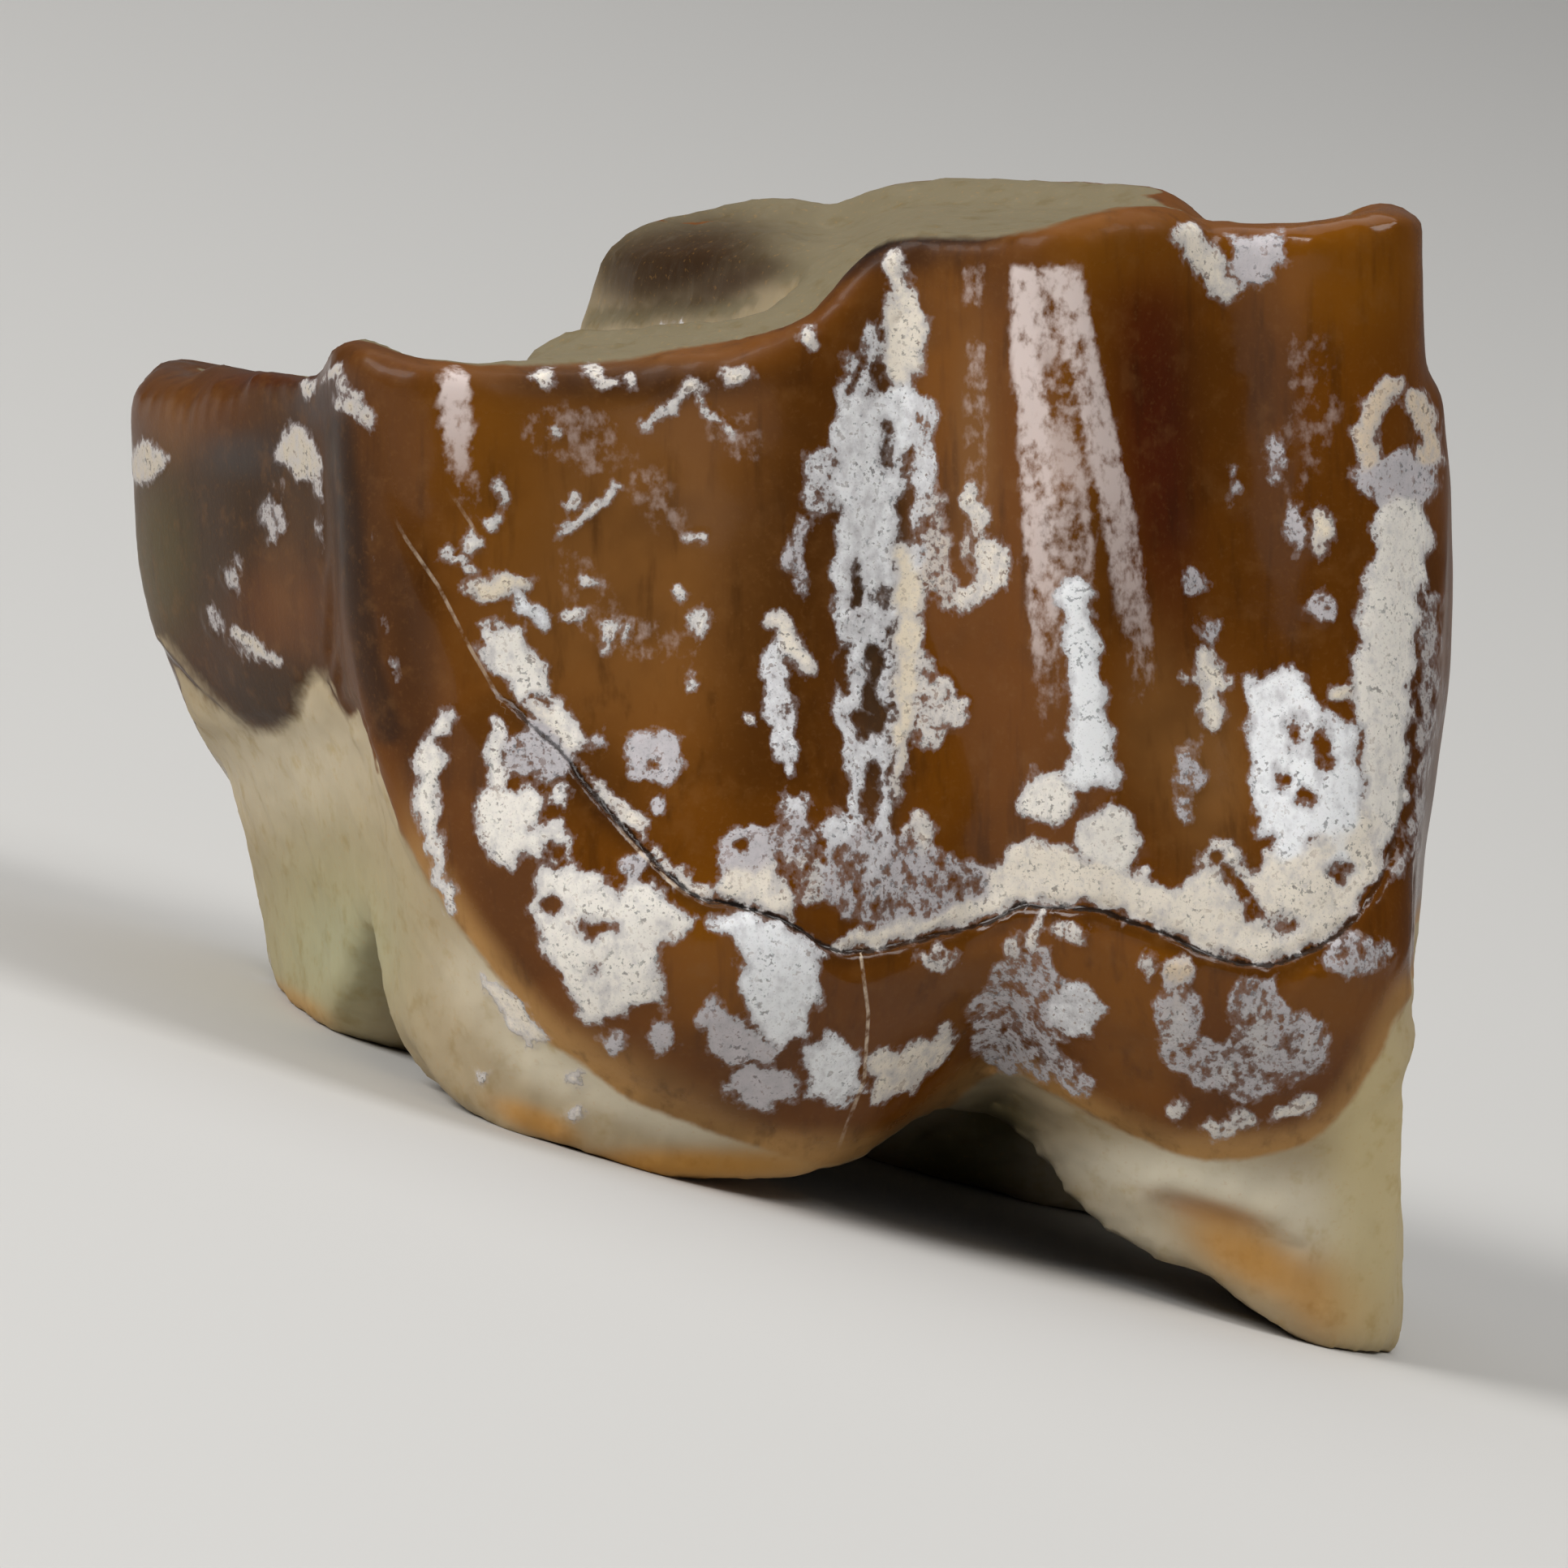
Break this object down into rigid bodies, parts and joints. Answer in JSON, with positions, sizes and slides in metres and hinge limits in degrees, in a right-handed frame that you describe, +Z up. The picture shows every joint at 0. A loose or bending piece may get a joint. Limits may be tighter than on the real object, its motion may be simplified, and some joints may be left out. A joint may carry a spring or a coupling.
{
  "type": "fossil tooth",
  "caption": "Fossil upper cheek tooth of a running rhino: ribbed brown enamel wall with a ledge, worn pale crown, and broken cream roots that it stands on.",
  "frame": {"origin": "centre of the bounding box on the plane that the broken roots stand on", "axes": "+X runs forward along the outer wall, the tooth's longest way, -Y faces out from the outer (cheek) wall, +Z is up, towards the worn crown"},
  "size_m": [0.0304, 0.0228, 0.0227],
  "materials": {
    "tooth": "polished fossil enamel, caramel to dark brown, with white mineral crust; worn dentine and roots matte cream to amber"
  },
  "bodies": {
    "root": {"tooth": "tooth"}
  },
  "joints": []
}
